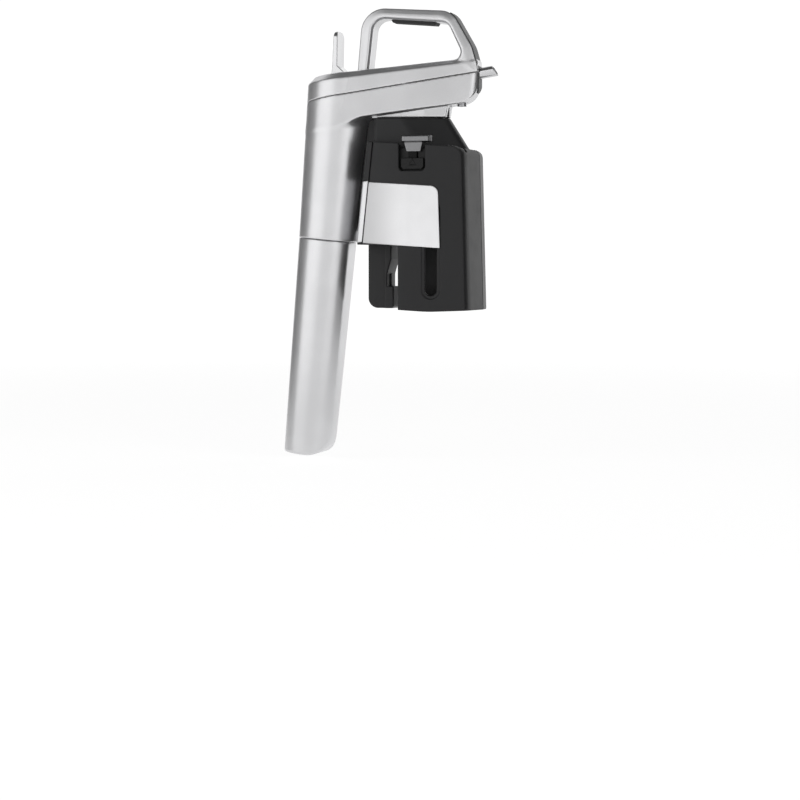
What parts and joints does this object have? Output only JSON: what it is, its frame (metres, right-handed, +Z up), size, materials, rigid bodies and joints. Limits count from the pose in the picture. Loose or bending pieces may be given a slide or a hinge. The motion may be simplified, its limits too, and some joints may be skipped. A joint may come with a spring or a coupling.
{
  "type": "wine preservation dispenser",
  "caption": "Needle-and-gas wine dispenser: a body with loop handle, trigger, spout and leaning capsule arm on a rail, over a base with sprung neck-clamp arms.",
  "frame": {"origin": "where the needle's axis crosses the plane of the bottle's mouth, which is the mouth pad's lower face", "axes": "+Z up along the needle, +X along the spout (forward), +Y to the left"},
  "size_m": [0.1109, 0.049, 0.2234],
  "materials": {
    "base_black": "satin black moulding",
    "arm_black": "satin black moulding",
    "rail_black": "satin black moulding",
    "rubber": "matt black",
    "steel": "plain steel",
    "needle_steel": "polished stainless steel",
    "capsule_steel": "satin",
    "liner": "smooth",
    "trim_silver": "satin silver",
    "plate_silver": "satin silver",
    "body_silver": "satin silver",
    "cup_silver": "satin anodised",
    "latch_steel": "brushed",
    "strip_grey": "satin dark grey",
    "spout_chrome": "polished",
    "trigger_chrome": "polished",
    "nose_screw": "dark satin",
    "brass": "machined"
  },
  "bodies": {
    "base": {"base_core": "base_black", "mouth_pad": "rubber", "needle_guide": "steel", "rail_liners": "liner", "rear_trim": "trim_silver", "base_screws": "steel", "right_hinge_pins": "steel", "left_hinge_pins": "steel", "right_clamp_springs": "steel", "left_clamp_springs": "steel", "right_release_spring": "steel", "left_release_spring": "steel"},
    "right_clamp": {"right_clamp_arm": "arm_black", "right_cover_plate": "plate_silver", "right_neck_pad": "rubber"},
    "left_clamp": {"left_clamp_arm": "arm_black", "left_cover_plate": "plate_silver", "left_neck_pad": "rubber"},
    "right_release": {"right_release_button": "arm_black", "right_latch_tab": "latch_steel"},
    "left_release": {"left_release_button": "arm_black", "left_latch_tab": "latch_steel"},
    "carriage": {"body_shell": "body_silver", "top_cover": "body_silver", "grip_pad": "rubber", "upper_front_strip": "strip_grey", "lower_front_strip": "strip_grey", "spout": "spout_chrome", "spout_seal": "rubber", "needle": "needle_steel", "needle_hub": "brass", "needle_seal": "rubber", "rail": "rail_black", "rail_catch": "latch_steel", "rail_screws": "steel", "valve_body": "brass", "gas_tube": "needle_steel", "regulator_body": "brass", "regulator_piston": "steel", "regulator_spring": "steel", "pierce_pin": "steel", "capsule_seal": "rubber", "trigger_pin": "steel", "cover_screws": "steel", "nose_screw": "nose_screw", "valve_spring": "steel"},
    "trigger": {"trigger": "trigger_chrome"},
    "plunger": {"valve_plunger": "steel", "plunger_seal": "rubber"},
    "capsule": {"gas_capsule": "capsule_steel"},
    "cup": {"capsule_cup": "cup_silver", "cup_seal": "rubber"}
  },
  "joints": [
    {"name": "body_slide", "type": "slide", "parent": "base", "child": "carriage", "axis": [0, 0, 1], "range_m": [0, 0.062]},
    {"name": "right_clamp_swing", "type": "hinge", "parent": "base", "child": "right_clamp", "pos_m": [-0.012, -0.0174, 0.003], "axis": [-1, 0, 0], "range_deg": [0, 8], "stiffness_Nm_per_rad": 0.5, "springref_deg": -5.73},
    {"name": "left_clamp_swing", "type": "hinge", "parent": "base", "child": "left_clamp", "pos_m": [-0.012, 0.0174, 0.003], "axis": [1, 0, 0], "range_deg": [0, 8], "stiffness_Nm_per_rad": 0.5, "springref_deg": -5.73},
    {"name": "right_release_slide", "type": "slide", "parent": "base", "child": "right_release", "axis": [0, 0, 1], "range_m": [0, 0.0025], "stiffness_N_per_m": 300, "springref_m": -0.001, "deforming": ["right_release_spring"]},
    {"name": "left_release_slide", "type": "slide", "parent": "base", "child": "left_release", "axis": [0, 0, 1], "range_m": [0, 0.0025], "stiffness_N_per_m": 300, "springref_m": -0.001, "deforming": ["left_release_spring"]},
    {"name": "trigger_swing", "type": "hinge", "parent": "carriage", "child": "trigger", "pos_m": [-0.0534, 0, 0.0376], "axis": [0, 1, 0], "range_deg": [0, 12], "stiffness_Nm_per_rad": 0.3, "springref_deg": -5.73},
    {"name": "valve_slide", "type": "slide", "parent": "carriage", "child": "plunger", "axis": [0, 0, -1], "range_m": [0, 0.0015], "deforming": ["valve_spring"]},
    {"name": "capsule_slide", "type": "slide", "parent": "carriage", "child": "capsule", "axis": [-0.0958, 0, -0.9954], "range_m": [0, 0.0091]},
    {"name": "cup_turn", "type": "hinge", "parent": "capsule", "child": "cup", "pos_m": [-0.056, 0, 0], "axis": [-0.0958, 0, -0.9954], "range_deg": [0, 2160]}
  ],
  "couplings": [
    {"joint": "valve_slide", "follows": "trigger_swing", "m_per_rad": 0.00716},
    {"joint": "capsule_slide", "follows": "cup_turn", "m_per_rad": 0.00023873}
  ]
}
